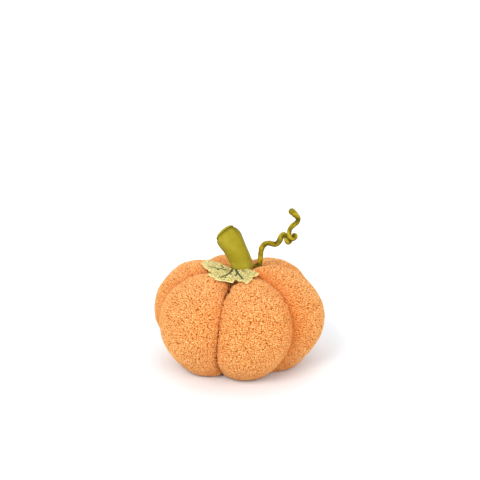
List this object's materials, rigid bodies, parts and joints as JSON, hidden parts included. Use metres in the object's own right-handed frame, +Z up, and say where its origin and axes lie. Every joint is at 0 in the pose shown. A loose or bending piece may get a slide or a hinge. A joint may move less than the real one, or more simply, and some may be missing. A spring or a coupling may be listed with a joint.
{
  "type": "fabric pumpkin",
  "caption": "Round stuffed cloth pumpkin with deep seams, a leaning cloth stem, a felt leaf and a curly wired tendril, standing on its own flat feet.",
  "frame": {"origin": "on the surface it stands on, under the middle of the whole object's box", "axes": "+Z up, -Y towards the front, +X to the right seen from the front"},
  "size_m": [0.2002, 0.1942, 0.1924],
  "materials": {
    "gore_cloth": "matte looped teddy cloth, orange",
    "stem_cloth": "smooth woven cloth, olive green",
    "leaf_felt": "matte felt, pale green, dark green veins",
    "tendril_cloth": "woven cloth tube, olive green"
  },
  "bodies": {
    "root": {"lobe_front": "gore_cloth", "lobe_right": "gore_cloth", "lobe_back_right": "gore_cloth", "lobe_back": "gore_cloth", "lobe_back_left": "gore_cloth", "lobe_front_left": "gore_cloth", "stem": "stem_cloth", "stem_end": "stem_cloth", "leaf": "leaf_felt", "tendril": "tendril_cloth"}
  },
  "joints": []
}
